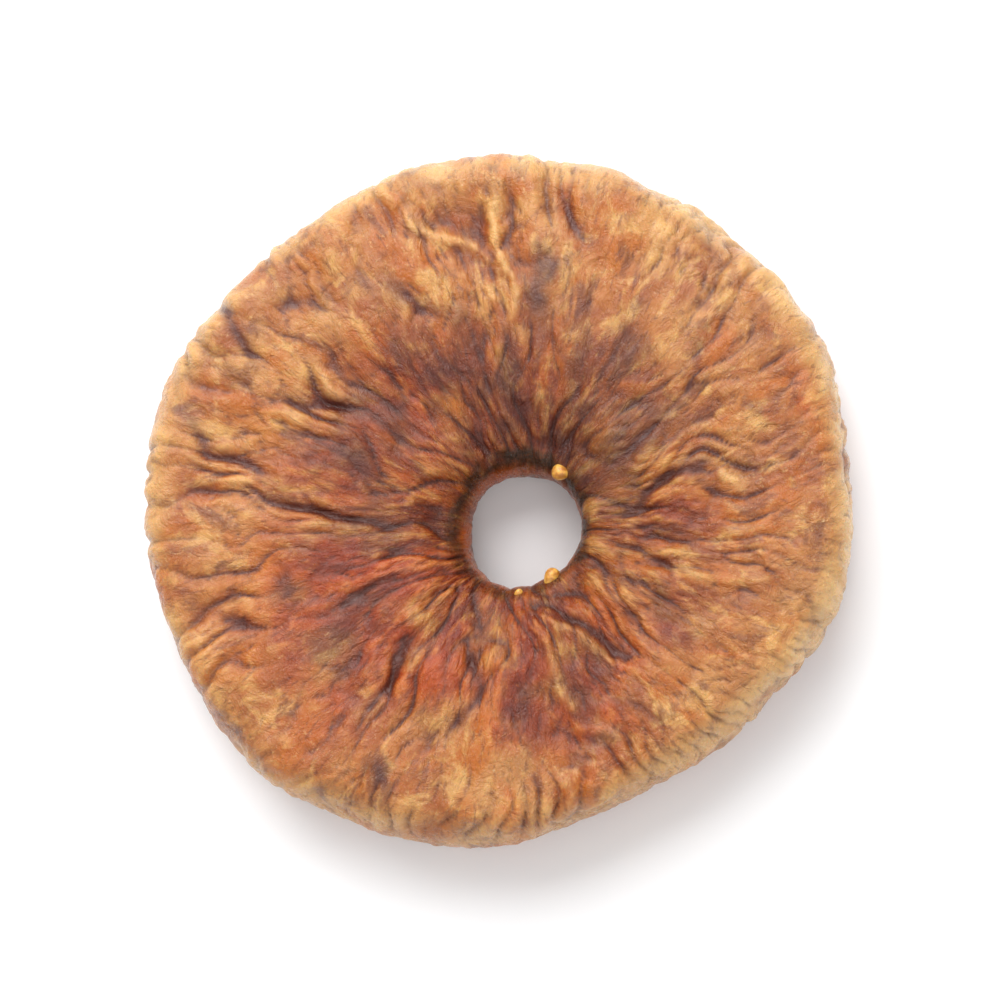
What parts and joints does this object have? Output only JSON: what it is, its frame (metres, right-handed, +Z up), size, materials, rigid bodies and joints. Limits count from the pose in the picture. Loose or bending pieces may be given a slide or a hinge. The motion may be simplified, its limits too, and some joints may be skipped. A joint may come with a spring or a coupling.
{
  "type": "dried fig",
  "caption": "Dried fig pressed into a flat wrinkled ring, with its skin gathered round the hole that a string goes through.",
  "frame": {"origin": "on the surface that the fig rests on, under the middle of its outline", "axes": "+Z up out of the face that shows, along the string hole; the stem side of the outline is not marked, so +X and +Y only fix its turn"},
  "size_m": [0.054, 0.0522, 0.0095],
  "materials": {
    "fig_skin": "soft, finely wrinkled, slightly waxy and translucent, golden brown to dark red with a pale rim"
  },
  "bodies": {
    "root": {"dried_fig": "fig_skin"}
  },
  "joints": []
}
